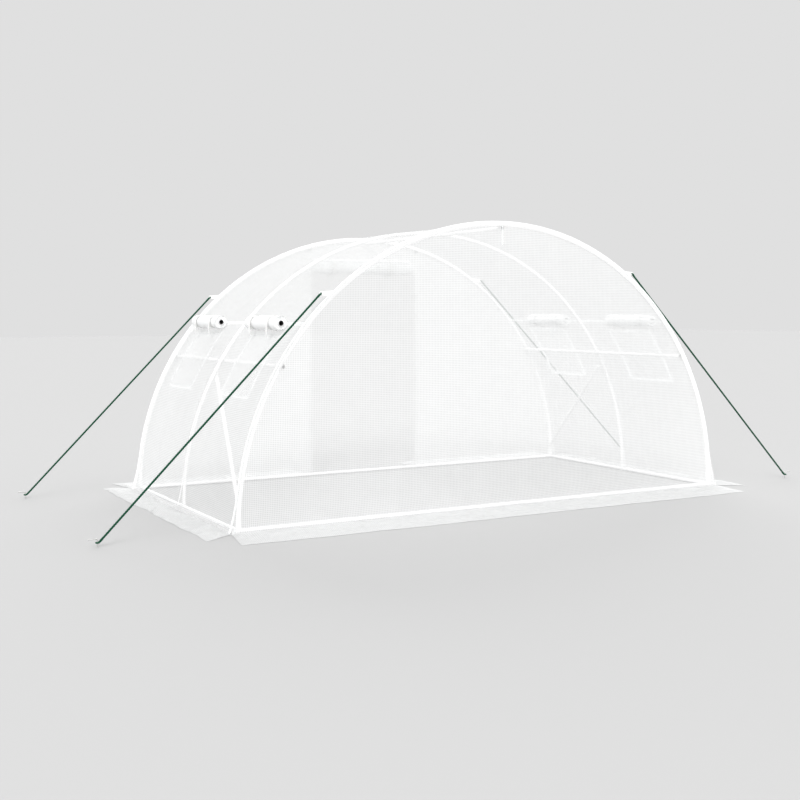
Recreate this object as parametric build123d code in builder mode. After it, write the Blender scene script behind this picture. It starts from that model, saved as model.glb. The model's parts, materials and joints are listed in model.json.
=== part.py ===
"""Polytunnel greenhouse: a half-round tunnel of steel tube under a reinforced film cover.

Millimetres. Origin on the ground at the middle of the plan. X runs across the arch, Y along the
tunnel with the doorway at +Y, Z up. Each piece is written to parts/ under its own name.
"""

import os
from math import asin, cos, degrees, pi, radians, sin, sqrt

from build123d import *

# Arch and tunnel
hoop_radius = 1990.0  # centre line of the arch tubes, centred on the ground line
bay_length = 1030.0  # from one hoop to the next
bay_count = 2
joint_angle = 45.0  # where the two tubes of a half hoop plug together

# Steel tube
tube_diameter = 25.0
tube_wall = 1.2
joint_groove_width = 4.0
joint_groove_depth = 0.8
seat_gap = 0.3  # running clearance wherever a curved face seats on another

# Plug-in corner fittings at the feet
fitting_arm = 45.0  # from the foot's centre line to the shoulder
plug_length = 30.0
fitting_step = 0.4  # the level arms are this much slimmer than the tube

# Saddle straps that hold the lengthwise tubes
strap_thickness = 2.0
strap_width = 20.0
strap_ear = 22.0

# Flattened and bolted tube ends
lug_length = 44.0
lug_width = 32.0
lug_thickness = 4.0
lug_taper = 45.0
bolt_hole_diameter = 6.5
bolt_edge_distance = 12.0

# Lengthwise tubes and braces
purlin_angle = 31.8  # above the ground, seen from the arch centre
brace_top_angle = 28.4
brace_foot_angle = 3.2

# Cover film
film_thickness = 2.0
window_low_angle = 25.0
window_high_angle = 37.5
window_width = 450.0
window_station = 550.0  # from the middle hoop to the middle of each window
door_width = 1000.0
door_height = 1842.0  # to the top of the rolled-up flap
door_head_lap = 25.0  # how far the wall comes down behind the roll, below its centre

# Strips, rolls and netting
net_thickness = 2.0
net_border = 30.0
zip_width = 24.0
zip_thickness = 4.0
window_roll_radius = 50.0
window_roll_length = 520.0
window_roll_angle = 39.6
door_roll_radius = 72.0
door_roll_length = 960.0
roll_sheet = 6.0  # the step that the loose edge of the flap makes along the roll
roll_tube_diameter = 26.0
roll_tube_wall = 1.5
roll_tube_overhang = 6.0
window_tie_spacing = 300.0
door_tie_spacing = 560.0
tie_width = 25.0
tie_thickness = 2.0
tie_tail = 90.0

# Ground flaps
end_flap_width = 385.0
side_flap_width = 250.0
end_flap_overhang = 110.0
side_flap_overhang = 160.0
flap_corner_cut = 150.0

# Guy ropes, tabs and pegs
rope_diameter = 12.0
rope_eye_diameter = 10.0  # of the thinner strand that forms the eyes at the rope's ends
tab_angle_left = 48.6
tab_angle_right = 56.3
tab_length = 85.0
tab_width = 36.0
tab_thickness = 3.0
tab_eyelet_clearance = 1.5
tab_eyelet_margin = 5.0  # webbing between the eyelet and the end
peg_offset = 865.0  # from the foot of the cover out to the pegs
peg_diameter = 7.0
peg_height = 48.0
peg_arm = 55.0
peg_eye_height = 26.0

# Sizes that follow from the ones above
tube_radius = tube_diameter / 2
bore_radius = tube_radius - tube_wall
eye_strand = rope_eye_diameter / 2
plug_radius = bore_radius - seat_gap
half_length = bay_length * bay_count / 2
hoop_stations = [bay_length * i - half_length for i in range(bay_count + 1)]
window_stations = (-window_station, window_station)
rail_height = tube_radius
film_inner = hoop_radius + tube_radius + seat_gap
film_outer = film_inner + film_thickness
end_film_inner = half_length + tube_radius + seat_gap
end_film_outer = end_film_inner + film_thickness
peg_distance = film_outer + peg_offset
seat_radius = hoop_radius - tube_radius - seat_gap
purlin_radius = seat_radius - tube_radius
foot_reach = sqrt(hoop_radius**2 - (fitting_arm + seat_gap) ** 2)  # where the bent tube ends
hoop_turn_axis = Axis((0, 0, 0), (0, -1, 0))

os.makedirs("parts", exist_ok=True)


def save(part, name):
    """Writes one piece to its own file, named after the piece."""
    part.label = name
    export_step(part, f"parts/{name}.step")


def around(radius, angle, station=0.0):
    """A point at a radius and an angle round the arch, at a station along the tunnel."""
    return Vector(radius * cos(radians(angle)), station, radius * sin(radians(angle)))


def outward(angle):
    """The outward direction of the arch at an angle."""
    return Vector(cos(radians(angle)), 0, sin(radians(angle)))


# Half hoops: two bent tubes plugged together, with the foot bored for its fitting
def half_hoop(station, side):
    groove = degrees(joint_groove_width / 2 / hoop_radius)
    foot_angle = degrees(asin((fitting_arm + seat_gap) / hoop_radius))
    apex_gap = degrees(seat_gap / 2 / hoop_radius)
    stretches = [
        (foot_angle, joint_angle - groove, tube_radius),
        (joint_angle - groove, joint_angle + groove, tube_radius - joint_groove_depth),
        (joint_angle + groove, 90 - apex_gap, tube_radius),
    ]
    with BuildPart() as half:
        for start, end, radius in stretches:
            low = around(hoop_radius, start, station)
            across = outward(start)
            section = Plane(origin=low, x_dir=across, z_dir=across.cross(Vector(0, 1, 0)))
            with BuildSketch(section):
                Circle(radius)
            revolve(axis=hoop_turn_axis, revolution_arc=end - start)
        socket_mouth = Plane(origin=(foot_reach, station, fitting_arm), z_dir=(0, 0, 1))
        with BuildSketch(socket_mouth):
            Circle(bore_radius)
        extrude(amount=plug_length + 2 * seat_gap, mode=Mode.SUBTRACT)
        if side == "left":
            mirror(about=Plane.YZ, mode=Mode.REPLACE)
    return half.part


for hoop_name, station in zip(("front", "middle", "rear"), hoop_stations):
    for side in ("left", "right"):
        save(half_hoop(station, side), f"hoop_{hoop_name}_{side}")


# Foot fittings: elbows at the corners and tees under the middle hoop
def foot_fitting(directions):
    """A fitting at the origin with an upright arm and a level arm along each direction."""
    with BuildPart() as fitting:
        for direction in [Vector(0, 0, 1)] + directions:
            upright = direction.Z > 0
            base = Vector(0, 0, 0 if upright else rail_height)
            with BuildSketch(Plane(origin=base, z_dir=direction)):
                Circle(tube_radius if upright else tube_radius - fitting_step)
            extrude(amount=fitting_arm)
            shoulder = base + direction * fitting_arm
            with BuildSketch(Plane(origin=shoulder, z_dir=direction)):
                Circle(plug_radius)
            extrude(amount=plug_length)
    return fitting.part


def corner_fittings():
    corners = []
    for across in (-1, 1):
        for along in (-1, 1):
            arms = [Vector(-across, 0, 0), Vector(0, -along, 0)]
            place = Location((across * foot_reach, along * half_length, 0))
            corners.append(foot_fitting(arms).moved(place))
    return Compound(corners)


def middle_fittings():
    tees = []
    for across in (-1, 1):
        for station in hoop_stations[1:-1]:
            arms = [Vector(0, 1, 0), Vector(0, -1, 0)]
            tees.append(foot_fitting(arms).moved(Location((across * foot_reach, station, 0))))
    return Compound(tees)


save(corner_fittings(), "corner_fittings")
save(middle_fittings(), "middle_fittings")


# Base rails: open tubes pushed over the plugs of the fittings
def straight_tube(start, end, groove_at_middle=False):
    axis = end - start
    section = Plane(origin=start, z_dir=axis.normalized())
    with BuildPart() as tube:
        with BuildSketch(section):
            Circle(tube_radius)
            Circle(bore_radius, mode=Mode.SUBTRACT)
        extrude(amount=axis.length)
        if groove_at_middle:
            with BuildSketch(section.offset((axis.length - joint_groove_width) / 2)):
                Circle(tube_radius)
                Circle(tube_radius - joint_groove_depth, mode=Mode.SUBTRACT)
            extrude(amount=joint_groove_width, mode=Mode.SUBTRACT)
    return tube.part


def side_rail(across):
    reach = fitting_arm + seat_gap
    pieces = []
    for first, last in zip(hoop_stations, hoop_stations[1:]):
        start = Vector(across * foot_reach, first + reach, rail_height)
        end = Vector(across * foot_reach, last - reach, rail_height)
        pieces.append(straight_tube(start, end))
    return Compound(pieces)


def end_rail(along):
    reach = foot_reach - fitting_arm - seat_gap
    start = Vector(-reach, along * half_length, rail_height)
    end = Vector(reach, along * half_length, rail_height)
    return straight_tube(start, end, groove_at_middle=True)


save(side_rail(-1), "base_rail_left")
save(side_rail(1), "base_rail_right")
save(end_rail(-1), "base_rail_front")
save(end_rail(1), "base_rail_rear")


# Purlins strapped under the hoops, and braces whose ends are pressed flat, holed and bolted
def flattened_tube(start, start_out, end, end_out):
    """A tube between two bolt points. The lugs lie square to the outward directions given."""
    toward_axis = tube_radius - lug_thickness / 2
    ends = []
    for point, out, other in ((start, start_out, end), (end, end_out, start)):
        along = other - point
        along = (along - out * along.dot(out)).normalized()
        lug_end = point + along * (lug_length - bolt_edge_distance)
        tube_end = lug_end + along * lug_taper - out * toward_axis
        ends.append((point, out, along, lug_end, tube_end))
    axis = (ends[1][4] - ends[0][4]).normalized()
    with BuildPart() as tube:
        with BuildSketch(Plane(origin=ends[0][4], z_dir=axis)):
            Circle(tube_radius)
        extrude(amount=(ends[1][4] - ends[0][4]).length)
        for (point, out, along, lug_end, tube_end), turn in zip(ends, (1, -1)):
            across = out.cross(along)
            lug_plane = Plane(origin=lug_end, x_dir=across, z_dir=along)
            with BuildSketch(lug_plane) as flat:
                RectangleRounded(lug_width, lug_thickness, lug_thickness / 2 - 0.01)
            with BuildSketch(Plane(origin=tube_end, x_dir=across, z_dir=axis * turn)) as round_end:
                Circle(tube_radius)
            loft(sections=[flat.sketch, round_end.sketch])
            with BuildSketch(lug_plane):
                RectangleRounded(lug_width, lug_thickness, lug_thickness / 2 - 0.01)
            extrude(amount=-lug_length)
            with BuildSketch(Plane(origin=point - out * lug_thickness, z_dir=out)):
                Circle(bolt_hole_diameter / 2)
            extrude(amount=2 * lug_thickness, mode=Mode.SUBTRACT)
    return tube.part


def purlin(angle):
    """An open tube that runs the length of the tunnel under the hoops."""
    reach = half_length + tube_radius
    start = around(purlin_radius, angle, -reach)
    end = around(purlin_radius, angle, reach)
    return straight_tube(start, end)


def saddle_straps(angle):
    """Bent straps that hold a purlin up against each hoop. Their ears lie along the hoop."""
    inner = tube_radius + seat_gap
    outer = inner + strap_thickness
    reach = outer + strap_ear
    ear_top = tube_radius - reach**2 / (2 * hoop_radius)  # clear of the bend of the hoop
    with BuildPart() as strap:
        with BuildSketch(Plane(origin=(0, 0, 0), x_dir=(1, 0, 0), z_dir=(0, -1, 0))):
            Circle(outer)
            with Locations((ear_top / 2, 0)):
                Rectangle(ear_top, 2 * outer)
            with Locations((ear_top - strap_thickness / 2, 0)):
                Rectangle(strap_thickness, 2 * reach)
            Circle(inner, mode=Mode.SUBTRACT)
            with Locations((inner, 0)):
                Rectangle(2 * inner, 2 * inner, mode=Mode.SUBTRACT)
            with Locations((ear_top + outer, 0)):
                Rectangle(2 * outer, 2 * outer, mode=Mode.SUBTRACT)
        extrude(amount=strap_width / 2, both=True)
        for side in (-1, 1):
            hole = Plane(origin=(0, 0, side * (outer + strap_ear / 2)), z_dir=(1, 0, 0))
            with BuildSketch(hole):
                Circle(bolt_hole_diameter / 2)
            extrude(amount=outer, mode=Mode.SUBTRACT)
    straps = []
    for station in hoop_stations:
        turned = strap.part.rotate(Axis.Y, -angle)
        straps.append(turned.moved(Location(around(purlin_radius, angle, station))))
    return straps


def brace(across, along):
    """From the middle hoop, just under the purlin, down to the foot of an end hoop.

    The lug at the foot is cut off flush with the outside of the end hoop.
    """
    lug_radius = seat_radius - lug_thickness / 2
    top = around(lug_radius, brace_top_angle, 0)
    foot = around(lug_radius, brace_foot_angle, along * half_length)
    with BuildPart() as trimmed:
        add(flattened_tube(top, outward(brace_top_angle), foot, outward(brace_foot_angle)))
        flush = Plane(origin=(0, along * (half_length + tube_radius), 0), z_dir=(0, along, 0))
        with BuildSketch(flush):
            with Locations((0, 0)):
                Rectangle(4 * hoop_radius, 4 * hoop_radius)
        extrude(amount=lug_length, mode=Mode.SUBTRACT)
        if across < 0:
            mirror(about=Plane.YZ, mode=Mode.REPLACE)
    return trimmed.part


save(purlin(90), "purlin_ridge")
save(purlin(purlin_angle), "purlin_right")
save(purlin(180 - purlin_angle), "purlin_left")
save(Compound(saddle_straps(90)), "saddle_straps_ridge")
save(Compound(saddle_straps(purlin_angle)), "saddle_straps_right")
save(Compound(saddle_straps(180 - purlin_angle)), "saddle_straps_left")
save(brace(-1, -1), "brace_left")
save(brace(1, 1), "brace_right")


# Cover: a curved sheet in three strips, flat ends, and flaps that lie on the ground
def curved_strip(low_angle, high_angle, inner, outer, half_width, middle=0.0):
    with BuildPart() as strip:
        start = around(0, low_angle, middle)
        across = outward(low_angle)
        with BuildSketch(Plane(origin=start, x_dir=across, z_dir=across.cross(Vector(0, 1, 0)))):
            with Locations(((inner + outer) / 2, 0)):
                Rectangle(outer - inner, 2 * half_width)
        revolve(axis=hoop_turn_axis, revolution_arc=high_angle - low_angle)
    return strip.part


def side_sheet():
    with BuildPart() as sheet:
        add(curved_strip(0, window_high_angle, film_inner, film_outer, end_film_outer))
        for middle in window_stations:
            add(
                curved_strip(
                    window_low_angle,
                    window_high_angle,
                    film_inner - 1,
                    film_outer + 1,
                    window_width / 2,
                    middle,
                ),
                mode=Mode.SUBTRACT,
            )
    return sheet.part


roof = curved_strip(
    window_high_angle, 180 - window_high_angle, film_inner, film_outer, end_film_outer
)
save(roof, "cover_roof")
save(side_sheet(), "cover_side_right")
save(side_sheet().mirror(Plane.YZ), "cover_side_left")


def end_sheet(along, low_x, high_x, low_z):
    """The part of a flat end between two uprights and above a level."""
    radius = film_inner - seat_gap
    face = Plane(origin=(0, along * end_film_inner, 0), x_dir=(1, 0, 0), z_dir=(0, -1, 0))
    with BuildPart() as sheet:
        with BuildSketch(face):
            Circle(radius)
            with Locations(((low_x + high_x) / 2, low_z + radius / 2)):
                Rectangle(high_x - low_x, radius, mode=Mode.INTERSECT)
        extrude(amount=-along * film_thickness)
    return sheet.part


save(end_sheet(-1, -film_inner, film_inner, 0), "end_wall_front")
save(end_sheet(1, -film_inner, -door_width / 2, 0), "end_wall_rear_left")
save(end_sheet(1, door_width / 2, film_inner, 0), "end_wall_rear_right")
over_door = door_width / 2 - seat_gap
door_head = door_height - door_roll_radius - door_head_lap
save(end_sheet(1, -over_door, over_door, door_head), "end_wall_rear_top")


def flap(points):
    """A flap of film lying on the ground, from its outline."""
    with BuildPart() as lying:
        with BuildSketch(Plane.XY):
            with BuildLine():
                Polyline(*points, close=True)
            make_face()
        extrude(amount=film_thickness)
    return lying.part


def end_flap(along):
    near = along * (end_film_outer + seat_gap)
    far = along * (end_film_outer + end_flap_width)
    reach = film_outer + end_flap_overhang
    cut = reach - flap_corner_cut
    if along < 0:
        return flap([(-film_outer, near), (-reach, far), (cut, far), (film_outer, near)])
    gap = door_width / 2 + zip_width + seat_gap
    left = flap([(-film_outer, near), (-reach, far), (-gap, far), (-gap, near)])
    return Compound([left, left.mirror(Plane.YZ)])


def side_flap():
    near = film_outer + seat_gap
    far = film_outer + side_flap_width
    reach = end_film_outer
    tip = reach + side_flap_overhang
    return flap([(near, -reach), (far, -tip), (far, tip), (near, reach)])


save(end_flap(-1), "ground_flap_front")
save(end_flap(1), "ground_flap_rear")
save(side_flap(), "ground_flap_right")
save(side_flap().mirror(Plane.YZ), "ground_flap_left")


# Windows: a net over each opening, and its shutter rolled up above
def window_net(middle):
    border = degrees(net_border / film_inner)
    low = window_low_angle - border
    high = window_high_angle
    half_width = window_width / 2 + net_border
    inner = film_outer + seat_gap
    return curved_strip(low, high, inner, inner + net_thickness, half_width, middle)


def rolled_flap(radius, length, loose_angle):
    """A flap wound on an open tube, along Y from the origin, its loose edge at an angle."""
    steps = 12
    edge = []
    for k in range(steps + 1):
        turn = k / steps
        angle = radians(loose_angle + 360 * turn)
        r = radius - roll_sheet * (1 - turn)
        edge.append((r * cos(angle), r * sin(angle)))
    end_face = Plane(origin=(0, -length / 2, 0), x_dir=(1, 0, 0), z_dir=(0, 1, 0))
    tube_face = end_face.offset(-roll_tube_overhang)
    with BuildPart() as roll:
        with BuildSketch(end_face):
            with BuildLine():
                Spline(*edge)
                Line(edge[-1], edge[0])
            make_face()
        extrude(amount=length)
        with BuildSketch(tube_face):
            Circle(roll_tube_diameter / 2)
        extrude(amount=length + 2 * roll_tube_overhang)
        with BuildSketch(tube_face):
            Circle(roll_tube_diameter / 2 - roll_tube_wall)
        extrude(amount=length + 2 * roll_tube_overhang, mode=Mode.SUBTRACT)
    return roll.part


def tie(radius, loose_angle):
    """A strap round a roll, with its free end hanging from the side at an angle."""
    inner = radius + seat_gap
    outer = inner + tie_thickness
    hang = radians(loose_angle)
    with BuildPart() as band:
        with BuildSketch(Plane(origin=(0, 0, 0), x_dir=(1, 0, 0), z_dir=(0, -1, 0))):
            Circle(outer)
            with Locations((outer * cos(hang) - tie_thickness / 2, outer * sin(hang) - tie_tail / 2)):
                Rectangle(tie_thickness, tie_tail)
            Circle(inner, mode=Mode.SUBTRACT)
        extrude(amount=tie_width / 2, both=True)
    return band.part


def pair(piece, spacing):
    return [piece.moved(Location((0, along * spacing / 2, 0))) for along in (-1, 1)]


tie_space = tie_thickness + 2 * seat_gap
window_roll_seat = film_outer + seat_gap + tie_space + window_roll_radius
window_nets = []
window_rolls = []
window_ties = []
for middle in window_stations:
    place = Location(around(window_roll_seat, window_roll_angle, middle))
    roll = rolled_flap(window_roll_radius, window_roll_length, 180 - window_roll_angle)
    window_nets.append(window_net(middle))
    window_rolls.append(roll.moved(place))
    band = tie(window_roll_radius, 0)
    window_ties += [one.moved(place) for one in pair(band, window_tie_spacing)]
for name, pieces in (("nets", window_nets), ("rolls", window_rolls), ("ties", window_ties)):
    save(Compound(pieces), f"window_{name}_right")
    save(Compound([one.mirror(Plane.YZ) for one in pieces]), f"window_{name}_left")

# Door: the flap rolled up over the doorway with its ties, and the zips down its sides
door_roll_place = Location(
    (0, end_film_outer + seat_gap + tie_space + door_roll_radius, door_height - door_roll_radius)
)
door_roll = rolled_flap(door_roll_radius, door_roll_length, 180).rotate(Axis.Z, 90)
save(door_roll.moved(door_roll_place), "door_roll")
door_ties = []
for band in pair(tie(door_roll_radius, 0), door_tie_spacing):
    door_ties.append(band.rotate(Axis.Z, 90).moved(door_roll_place))
save(Compound(door_ties), "door_ties")


def door_zip(across):
    middle = across * (door_width / 2 + zip_width / 2)
    outer_x = door_width / 2 + zip_width
    top = sqrt(film_inner**2 - outer_x**2) - seat_gap
    seat = (middle, end_film_outer + seat_gap, 0)
    with BuildPart() as strip:
        with BuildSketch(Plane(origin=seat, x_dir=(1, 0, 0), z_dir=(0, 1, 0))):
            with Locations((0, -top / 2)):
                Rectangle(zip_width, top)
        extrude(amount=zip_thickness)
    return strip.part


save(Compound([door_zip(-1), door_zip(1)]), "door_zips")


# Guy ropes: a webbing tab on the cover, a taut rope and a peg at each corner
eyelet_radius = eye_strand + tab_eyelet_clearance
eyelet_reach = tab_length - tab_eyelet_margin - eyelet_radius
eye_radius = eyelet_radius + tab_eyelet_margin / 2  # centre line of the eye in the rope's end


def tab_root(angle, station):
    """Where a tab leaves the cover."""
    return around(film_outer + seat_gap, angle, station)


def tab(angle, station):
    root = tab_root(angle, station)
    with BuildPart() as webbing:
        with BuildSketch(Plane(origin=root, x_dir=(1, 0, 0), z_dir=(0, -1, 0))):
            with Locations((-tab_width / 2, 0)):
                Rectangle(tab_width, tab_width)
            with Locations((eyelet_reach, 0)):
                Circle(eyelet_radius + tab_eyelet_margin)
            make_hull()
            with Locations((eyelet_reach, 0)):
                Circle(eyelet_radius, mode=Mode.SUBTRACT)
        extrude(amount=tab_thickness / 2, both=True)
        seat = film_outer + seat_gap
        cover = curved_strip(0, 90, seat / 2, seat, tab_width, station)
        add(cover, mode=Mode.SUBTRACT)
    return webbing.part


def rope(angle, station):
    """A taut line with an eye through the tab at the top and another round the peg."""
    eyelet = tab_root(angle, station) + Vector(eyelet_reach, 0, 0)
    peg_eye_radius = peg_diameter / 2 + seat_gap + eye_strand
    peg_eye = Vector(peg_distance, station, peg_eye_height)
    line_end = peg_eye - Vector(peg_eye_radius, 0, 0)
    down = (line_end - eyelet).normalized()
    pulled_tight = tab_eyelet_clearance - seat_gap
    top_eye = eyelet + down * (pulled_tight + eye_radius)
    line_start = top_eye + down * eye_radius
    eye_axis = down.cross(Vector(0, 1, 0))
    with BuildPart() as line:
        with BuildSketch(Plane(origin=line_start, z_dir=down)):
            Circle(rope_diameter / 2)
        extrude(amount=(line_end - line_start).length)
        with BuildSketch(Plane(origin=line_start, x_dir=down, z_dir=(0, 1, 0))):
            Circle(eye_strand)
        revolve(axis=Axis(top_eye, eye_axis))
        peg_side = peg_eye + Vector(peg_eye_radius, 0, 0)
        with BuildSketch(Plane(origin=peg_side, x_dir=(1, 0, 0), z_dir=(0, -1, 0))):
            Circle(eye_strand)
        revolve(axis=Axis(peg_eye, (0, 0, 1)))
    return line.part


def peg(station):
    bend = peg_diameter
    with BuildPart() as rod:
        with BuildLine() as route:
            FilletPolyline(
                (peg_distance, station, 0),
                (peg_distance, station, peg_height),
                (peg_distance + peg_arm, station, peg_height),
                radius=bend,
            )
        with BuildSketch(Plane(origin=(peg_distance, station, 0))):
            Circle(peg_diameter / 2)
        sweep(path=route.wires()[0])
    return rod.part


ends = {"front": -half_length, "rear": half_length}
sides = {"left": tab_angle_left, "right": tab_angle_right}
for side, angle in sides.items():
    tabs = [tab(angle, station) for station in ends.values()]
    pegs = [peg(station) for station in ends.values()]
    if side == "left":
        tabs = [one.mirror(Plane.YZ) for one in tabs]
        pegs = [one.mirror(Plane.YZ) for one in pegs]
    save(Compound(tabs), f"rope_tabs_{side}")
    save(Compound(pegs), f"pegs_{side}")
    for end, station in ends.items():
        line = rope(angle, station)
        save(line.mirror(Plane.YZ) if side == "left" else line, f"guy_rope_{side}_{end}")
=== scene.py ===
"""Polytunnel greenhouse, dressed for the render.

The tube frame, fittings, straps and pegs are the CAD nodes with their finishes. The film, netting,
rolled flaps, zips, webbing and ropes are modelled here over the CAD solids that they stand for.
"""

import json
import math
import bmesh
import bpy
from bpy.props import FloatProperty, FloatVectorProperty, PointerProperty
from mathutils import Matrix, Vector, noise

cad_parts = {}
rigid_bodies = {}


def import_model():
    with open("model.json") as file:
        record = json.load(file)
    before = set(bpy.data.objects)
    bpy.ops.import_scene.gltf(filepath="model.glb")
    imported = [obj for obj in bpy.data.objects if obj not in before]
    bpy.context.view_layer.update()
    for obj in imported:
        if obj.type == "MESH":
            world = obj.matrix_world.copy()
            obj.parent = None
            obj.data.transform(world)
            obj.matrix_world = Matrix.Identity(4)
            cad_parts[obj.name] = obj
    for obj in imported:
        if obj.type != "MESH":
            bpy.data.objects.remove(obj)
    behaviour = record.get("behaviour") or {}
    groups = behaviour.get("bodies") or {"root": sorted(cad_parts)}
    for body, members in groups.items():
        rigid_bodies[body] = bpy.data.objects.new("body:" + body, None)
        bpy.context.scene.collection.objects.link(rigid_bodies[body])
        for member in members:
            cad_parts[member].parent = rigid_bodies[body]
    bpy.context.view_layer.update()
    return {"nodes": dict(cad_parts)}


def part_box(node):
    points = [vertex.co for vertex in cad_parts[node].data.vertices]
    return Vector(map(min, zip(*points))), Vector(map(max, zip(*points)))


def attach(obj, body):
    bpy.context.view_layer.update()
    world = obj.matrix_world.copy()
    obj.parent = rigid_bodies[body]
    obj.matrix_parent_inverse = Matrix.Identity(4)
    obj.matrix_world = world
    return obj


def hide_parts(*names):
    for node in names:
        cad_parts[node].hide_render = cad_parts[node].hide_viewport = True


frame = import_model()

bl_info = {
    "name": "Polytunnel greenhouse",
    "version": (1, 0, 0),
    "blender": (4, 5, 0),
    "location": "3D view > Sidebar > Polytunnel",
    "description": "Dresses the polytunnel: film, netting, rolled flaps, ropes and finishes",
    "category": "Object",
}

# Sizes that follow the CAD nodes, in metres
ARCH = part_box("cover_roof")[1][2]  # outside of the film at the crown
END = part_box("end_wall_front")[0][1]  # outside of the front film
STATIONS = (-1.03, 0.0, 1.03)
HOOP = 1.99
TUBE = 0.0125
FILM = 0.0012  # how far the film's middle lies inside the outside of its CAD solid
DOOR_HALF = 0.5
PURLINS = (31.8, 90.0, 148.2)  # degrees round the arch
BRACE_TOP = 28.4
BRACE_FOOT = 3.2
LENGTHWISE = Vector((0, 1, 0))
ACROSS = Vector((1, 0, 0))


def find_node(name):
    for one in bpy.data.objects:
        if one.name == name:
            return one
    raise RuntimeError(f"no CAD node {name}")


def node_names(start):
    return [name for name in frame["nodes"] if name.startswith(start)]


def outward(angle, side=1):
    """The direction out from the tunnel's axis, at an angle above the ground."""
    turn = math.radians(angle)
    return Vector((side * math.cos(turn), 0, math.sin(turn)))


def facing(way, front="Z"):
    """The turn that points a piece's front axis along a direction."""
    return Vector(way).to_track_quat(front, "Y").to_matrix().to_4x4()


# Settings
METRES = {"unit": "LENGTH", "subtype": "DISTANCE"}


class PolytunnelSizes(bpy.types.PropertyGroup):
    """Sizes of the film, its seams and the ropes"""

    film_sag: FloatProperty(
        name="Film sag",
        description="How far the film lies inside the hoops halfway between them",
        default=0.006,
        **METRES,
    )
    film_crease: FloatProperty(
        name="Film crease",
        description="Height of the packing creases and pulls in the film",
        default=0.0035,
        **METRES,
    )
    foot_flare: FloatProperty(
        name="Foot flare",
        description="How far the film stands out from the hoops at the ground",
        default=0.042,
        **METRES,
    )
    flap_crinkle: FloatProperty(
        name="Flap crinkle",
        description="Height of the crinkles in the flaps on the ground",
        default=0.024,
        **METRES,
    )
    grid_pitch: FloatProperty(
        name="Grid pitch",
        description="Distance between the reinforcing threads in the film",
        default=0.012,
        **METRES,
    )
    hem_width: FloatProperty(
        name="Hem width",
        description="Width of the welded hems and seams",
        default=0.028,
        **METRES,
    )
    rope_pitch: FloatProperty(
        name="Rope pitch",
        description="Length of one turn of the rope's strands",
        default=0.05,
        **METRES,
    )


class PolytunnelColours(bpy.types.PropertyGroup):
    """Colours of the pieces and the studio floor"""

    film: FloatVectorProperty(
        name="Film",
        description="Colour of the film",
        default=(0.87, 0.875, 0.875),
        subtype="COLOR",
    )
    tube: FloatVectorProperty(
        name="Tube",
        description="Colour of the powder coat on the tubes",
        default=(0.95, 0.95, 0.95),
        subtype="COLOR",
    )
    rope: FloatVectorProperty(
        name="Rope",
        description="Colour of the guy ropes",
        default=(0.003, 0.055, 0.027),
        subtype="COLOR",
    )
    webbing: FloatVectorProperty(
        name="Webbing",
        description="Colour of the tabs, ties and zip tape",
        default=(0.92, 0.92, 0.91),
        subtype="COLOR",
    )
    floor: FloatVectorProperty(
        name="Floor",
        description="Colour of the studio floor",
        default=(0.515, 0.515, 0.515),
        subtype="COLOR",
    )


def sizes():
    return bpy.context.scene.polytunnel_sizes


def colours():
    return bpy.context.scene.polytunnel_colours


# Shader building blocks
def feed(tree, node, inputs):
    """Sets a node's inputs to values, or wires sockets to them."""
    for label, value in inputs.items():
        if isinstance(value, bpy.types.NodeSocket):
            tree.links.new(value, node.inputs[label])
        else:
            node.inputs[label].default_value = value


def add_node(tree, kind, inputs, **settings):
    node = tree.nodes.new("ShaderNode" + kind)
    for label, value in settings.items():
        setattr(node, label, value)
    feed(tree, node, inputs)
    return node


def maths(tree, operation, a, b=None, clamp=False):
    inputs = {0: a} if b is None else {0: a, 1: b}
    return add_node(tree, "Math", inputs, operation=operation, use_clamp=clamp).outputs[0]


def thread_grid(group, given):
    """Threads at a pitch along both directions of the cloth: 1 on a thread, 0 between."""
    split = add_node(group, "SeparateXYZ", {0: given["Vector"]})
    lines = []
    humps = []
    for axis in (0, 1):
        turns = maths(group, "DIVIDE", split.outputs[axis], given["Pitch"])
        part = maths(group, "FRACT", turns)
        centred = maths(group, "ABSOLUTE", maths(group, "SUBTRACT", part, 0.5))
        near = maths(group, "SUBTRACT", 0.5, centred)
        away = maths(group, "DIVIDE", near, given["Thread"])
        hump = maths(group, "SUBTRACT", 1.0, away, clamp=True)
        humps.append(hump)
        lines.append(maths(group, "MULTIPLY", hump, 2.5, clamp=True))
    return maths(group, "MAXIMUM", *lines), maths(group, "MAXIMUM", *humps)


def crumple(group, given):
    """Soft creases from two layers of noise, and the finer layer alone as a tone."""
    place = given["Vector"]
    scale = given["Scale"]
    wide = add_node(
        group,
        "TexNoise",
        {"Vector": place, "Scale": scale, "Detail": given["Detail"], "Roughness": 0.55},
        noise_type="RIDGED_MULTIFRACTAL",
    ).outputs[0]
    finer = maths(group, "MULTIPLY", scale, 2.6)
    fine = add_node(group, "TexNoise", {"Vector": place, "Scale": finer, "Detail": 4.0}).outputs[0]
    return maths(group, "ADD", wide, maths(group, "MULTIPLY", fine, 0.5)), fine


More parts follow.
